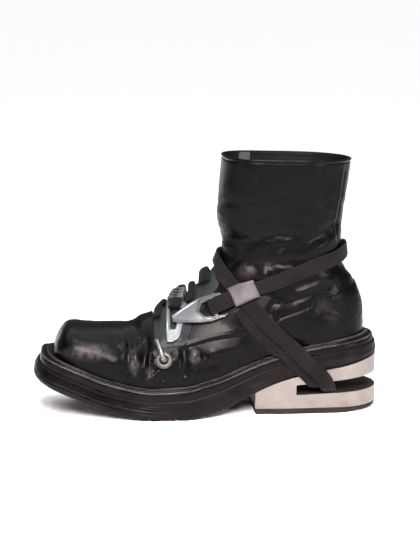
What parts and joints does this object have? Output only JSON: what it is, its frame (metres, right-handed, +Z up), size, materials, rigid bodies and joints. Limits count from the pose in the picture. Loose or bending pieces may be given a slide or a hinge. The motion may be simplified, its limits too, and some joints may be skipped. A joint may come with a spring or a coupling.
{
  "type": "ankle boot",
  "caption": "Left ankle boot: hollow upper with open throat and tongue, stepped curved sole, cut-out heel, elastic straps with a hook and link.",
  "frame": {"origin": "middle of the bounding box's footprint, on the floor", "axes": "-X to the toe, +X to the heel, -Y to the outer side of the foot, +Y to the inner side, +Z up to the collar"},
  "size_m": [0.31, 0.1079, 0.229],
  "materials": {
    "leather": "polished black leather",
    "lining": "matt lining",
    "sole_rubber": "matt, dusty",
    "midsole_rubber": "matt, ribbed",
    "heel_metal": "brushed",
    "trim_metal": "brushed",
    "webbing": "ribbed elastic webbing"
  },
  "bodies": {
    "root": {"outsole": "sole_rubber", "midsole": "midsole_rubber", "welt": "midsole_rubber", "insole": "lining", "heel_block": "heel_metal", "heel_lift": "sole_rubber", "upper": "leather", "tongue": "leather", "heel_counter": "leather", "strap_ankle": "webbing", "strap_heel": "webbing", "band_front": "webbing", "band_middle": "webbing", "band_rear": "webbing", "band_link": "webbing", "strap_clamp": "trim_metal", "link_clamp": "trim_metal", "hook": "trim_metal", "link": "trim_metal", "eyelet": "trim_metal", "eyelet_wire": "trim_metal", "pull_tab": "lining"}
  },
  "joints": []
}
